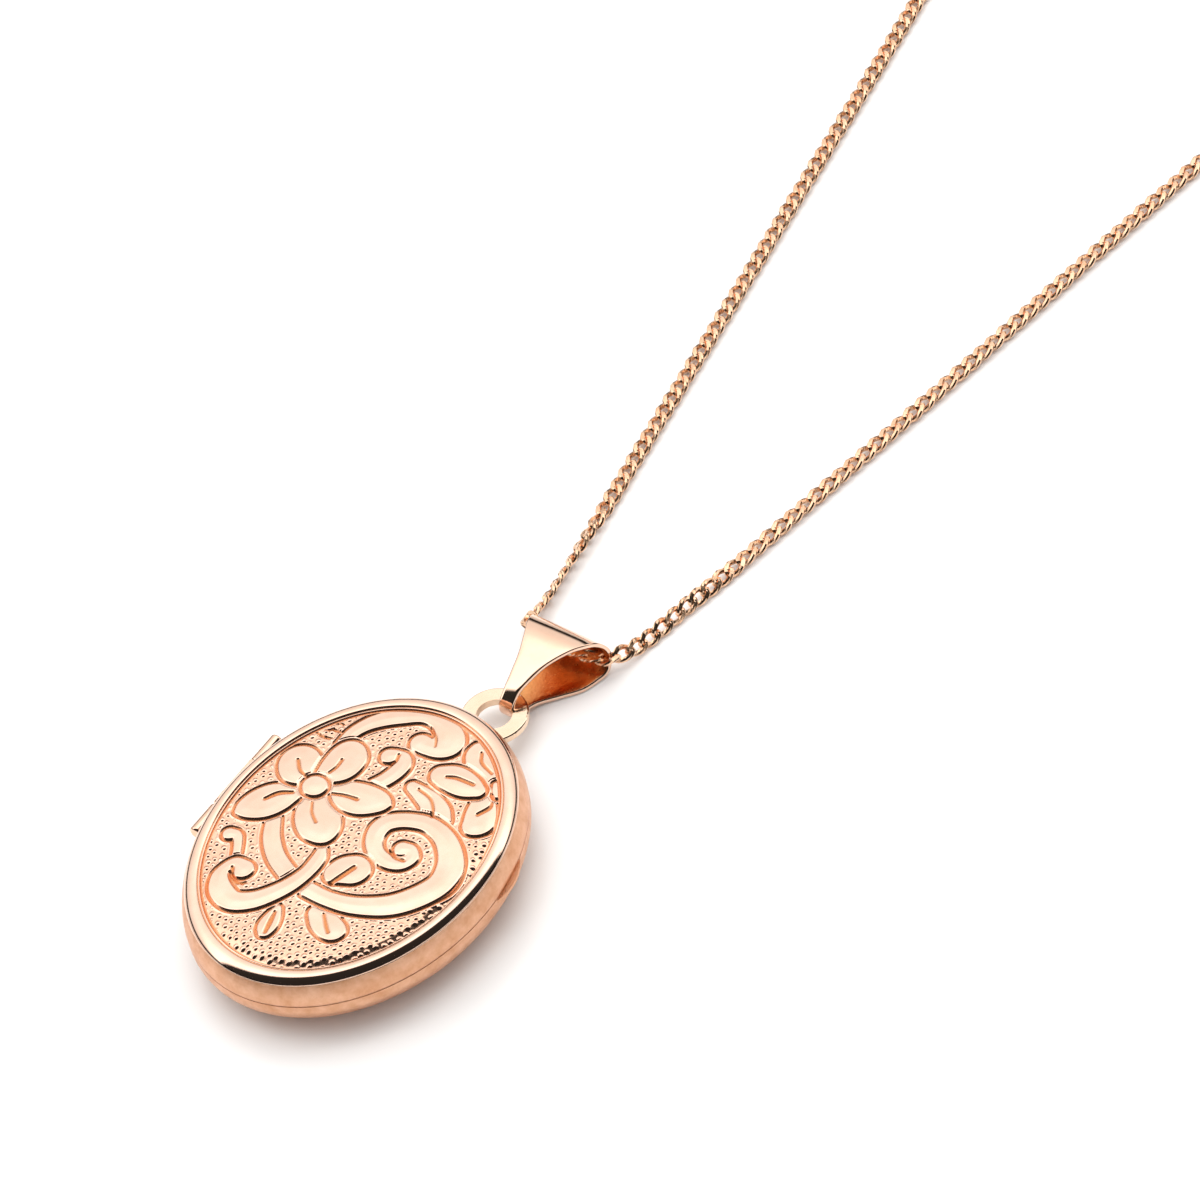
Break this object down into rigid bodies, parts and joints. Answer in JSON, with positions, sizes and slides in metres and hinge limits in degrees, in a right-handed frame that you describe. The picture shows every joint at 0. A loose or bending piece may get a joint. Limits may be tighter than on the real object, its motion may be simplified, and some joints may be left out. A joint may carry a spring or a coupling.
{
  "type": "hinged oval locket on a curb chain",
  "caption": "Oval two-part locket with an embossed floral front, side hinge, inner photo frames, tapered bail and a fine curb chain with a ring clasp.",
  "frame": {"origin": "middle of the flat of the back cover, which the locket lies on", "axes": "+Z out of the embossed front, +Y from the locket towards its bail, +X away from the hinge"},
  "size_m": [0.028, 0.1059, 0.0042],
  "materials": {
    "polished_gold": "polished rose gold",
    "pale_gold": "polished, slightly yellower rose gold",
    "chain_gold": "bright cut rose gold links",
    "frame_gold": "thin polished rose gold sheet",
    "clear_window": "clear film",
    "card": "blank matt photo card",
    "spring_steel": "wire"
  },
  "bodies": {
    "root": {"back_cover": "polished_gold", "locating_rim": "polished_gold", "opening_lip": "polished_gold", "back_photo_card": "card", "back_photo_window": "clear_window", "back_photo_frame": "frame_gold", "hinge_knuckles_back": "polished_gold", "hinge_pin": "polished_gold", "bail_ring": "pale_gold", "chain_left": "chain_gold", "chain_right": "chain_gold", "chain_left_coil": "chain_gold", "chain_right_coil": "chain_gold", "chain_left_tail": "chain_gold", "chain_right_tail": "chain_gold", "clasp_body": "pale_gold", "clasp_spring": "spring_steel", "clasp_eyelet": "pale_gold", "left_end_ring": "chain_gold", "right_end_ring": "chain_gold"},
    "front_case": {"front_cover": "polished_gold", "front_photo_card": "card", "front_photo_window": "clear_window", "front_photo_frame": "frame_gold", "hinge_knuckle_front": "polished_gold"},
    "bail_loop": {"bail": "polished_gold", "chain_in_bail": "chain_gold"},
    "bolt": {"clasp_bolt": "pale_gold"}
  },
  "joints": [
    {"name": "cover_hinge", "type": "hinge", "parent": "root", "child": "front_case", "pos_m": [-0.00882, 0.001, 0.0022], "axis": [0, -1, 0], "range_deg": [0, 150]},
    {"name": "bail_swing", "type": "hinge", "parent": "root", "child": "bail_loop", "pos_m": [0, 0.01333, 0.00122], "axis": [1, 0, 0], "range_deg": [0, 95]},
    {"name": "clasp_bolt_slide", "type": "hinge", "parent": "root", "child": "bolt", "pos_m": [0.00128, 0.0924, 0.00105], "axis": [0, 0, 1], "range_deg": [0, 50], "stiffness_Nm_per_rad": 0.0001, "deforming": ["clasp_spring"]}
  ]
}
